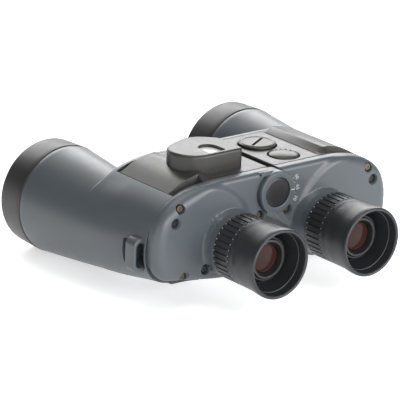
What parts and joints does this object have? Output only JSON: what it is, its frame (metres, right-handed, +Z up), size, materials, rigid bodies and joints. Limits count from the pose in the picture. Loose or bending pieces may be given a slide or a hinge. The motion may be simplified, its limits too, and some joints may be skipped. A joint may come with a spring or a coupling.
{
  "type": "binoculars",
  "caption": "Prism binoculars with a centre hinge, individually focused grooved eyepieces, a compass housing, light controls and strap lugs.",
  "frame": {"origin": "under the middle of the object, at the height of the hoods' lowest point", "axes": "+X to the user's right, +Y from the eyepieces to the objectives along the optical axes, +Z up"},
  "size_m": [0.1922, 0.17, 0.0779],
  "materials": {
    "paint_grey": "satin blue-grey enamel on cast aluminium",
    "deck_black": "fine-textured black moulding",
    "hood_black": "satin black",
    "rubber_black": "moulded rubber",
    "black_metal": "black anodised",
    "lens_glass": "coated optical glass",
    "coated_lens": "coated optical glass with a reddish reflection",
    "prism_glass": "optical glass",
    "steel": "plain",
    "brass_screw": "dull brass",
    "bronze": "sintered bronze",
    "diffuser_white": "white translucent",
    "capsule_clear": "clear acrylic",
    "black_plastic": "moulded"
  },
  "bodies": {
    "left_half": {"left_body": "paint_grey", "left_rear_cover": "paint_grey", "left_deck_plate": "deck_black", "left_hood": "hood_black", "left_objective_cell": "black_metal", "left_objective_lens": "lens_glass", "left_retaining_ring": "black_metal", "left_rear_prism": "prism_glass", "left_front_prism": "prism_glass", "left_prism_shelf": "black_metal", "left_prism_clips": "steel", "left_eyepiece_tube": "paint_grey", "left_cover_screws": "brass_screw", "left_prism_screws": "black_metal", "left_strap_lug": "paint_grey", "reticle": "lens_glass", "hinge_axle": "steel", "hinge_end_disc": "black_metal", "compass_housing": "deck_black", "compass_window": "diffuser_white", "compass_capsule": "capsule_clear", "compass_pivot": "steel", "compass_lamp": "diffuser_white"},
    "right_half": {"right_body": "paint_grey", "right_rear_cover": "paint_grey", "right_deck_plate": "deck_black", "right_hood": "hood_black", "right_objective_cell": "black_metal", "right_objective_lens": "lens_glass", "right_retaining_ring": "black_metal", "right_rear_prism": "prism_glass", "right_front_prism": "prism_glass", "right_prism_shelf": "black_metal", "right_prism_clips": "steel", "right_eyepiece_tube": "paint_grey", "right_cover_screws": "brass_screw", "right_prism_screws": "black_metal", "right_strap_lug": "paint_grey", "hinge_bushes": "bronze", "hinge_washers": "steel", "battery_holder": "black_plastic", "button_cells": "steel", "battery_spring": "steel", "button_spring": "steel", "light_switch": "black_plastic"},
    "left_focus": {"left_focus_ring": "rubber_black", "left_eyecup": "rubber_black"},
    "right_focus": {"right_focus_ring": "rubber_black", "right_eyecup": "rubber_black"},
    "left_ocular": {"left_ocular_cell": "black_metal", "left_eye_lens": "coated_lens", "left_field_lens": "lens_glass"},
    "right_ocular": {"right_ocular_cell": "black_metal", "right_eye_lens": "coated_lens", "right_field_lens": "lens_glass"},
    "compass_card": {"compass_card": "diffuser_white"},
    "light_button": {"light_button": "deck_black"},
    "battery_cap": {"battery_cap": "deck_black", "battery_cap_seal": "rubber_black"}
  },
  "joints": [
    {"name": "interpupillary_hinge", "type": "hinge", "parent": "left_half", "child": "right_half", "pos_m": [0, 0, 0.0545], "axis": [0, 1, 0], "range_deg": [-16, 20]},
    {"name": "left_focus_turn", "type": "hinge", "parent": "left_half", "child": "left_focus", "pos_m": [-0.0325, -0.06, 0.032], "axis": [0, 1, 0], "range_deg": [-150, 150]},
    {"name": "left_ocular_travel", "type": "slide", "parent": "left_half", "child": "left_ocular", "axis": [0, 1, 0], "range_m": [-0.0016, 0.0016]},
    {"name": "right_focus_turn", "type": "hinge", "parent": "right_half", "child": "right_focus", "pos_m": [0.0325, -0.06, 0.032], "axis": [0, 1, 0], "range_deg": [-150, 150]},
    {"name": "right_ocular_travel", "type": "slide", "parent": "right_half", "child": "right_ocular", "axis": [0, 1, 0], "range_m": [-0.0016, 0.0016]},
    {"name": "compass_card_turn", "type": "hinge", "parent": "left_half", "child": "compass_card", "pos_m": [-0.03, -0.013, 0.0703], "axis": [0, 0, 1], "continuous": true},
    {"name": "light_button_press", "type": "slide", "parent": "right_half", "child": "light_button", "axis": [0, 0, -1], "range_m": [0, 0.0012], "stiffness_N_per_m": 400, "springref_m": -0.001, "deforming": ["button_spring"]},
    {"name": "battery_cap_turn", "type": "hinge", "parent": "right_half", "child": "battery_cap", "pos_m": [0.0196, 0.0004, 0.0669], "axis": [0, 0, 1], "range_deg": [0, 90]}
  ],
  "couplings": [
    {"joint": "left_ocular_travel", "follows": "left_focus_turn", "m_per_rad": 0.0006},
    {"joint": "right_ocular_travel", "follows": "right_focus_turn", "m_per_rad": 0.0006}
  ]
}
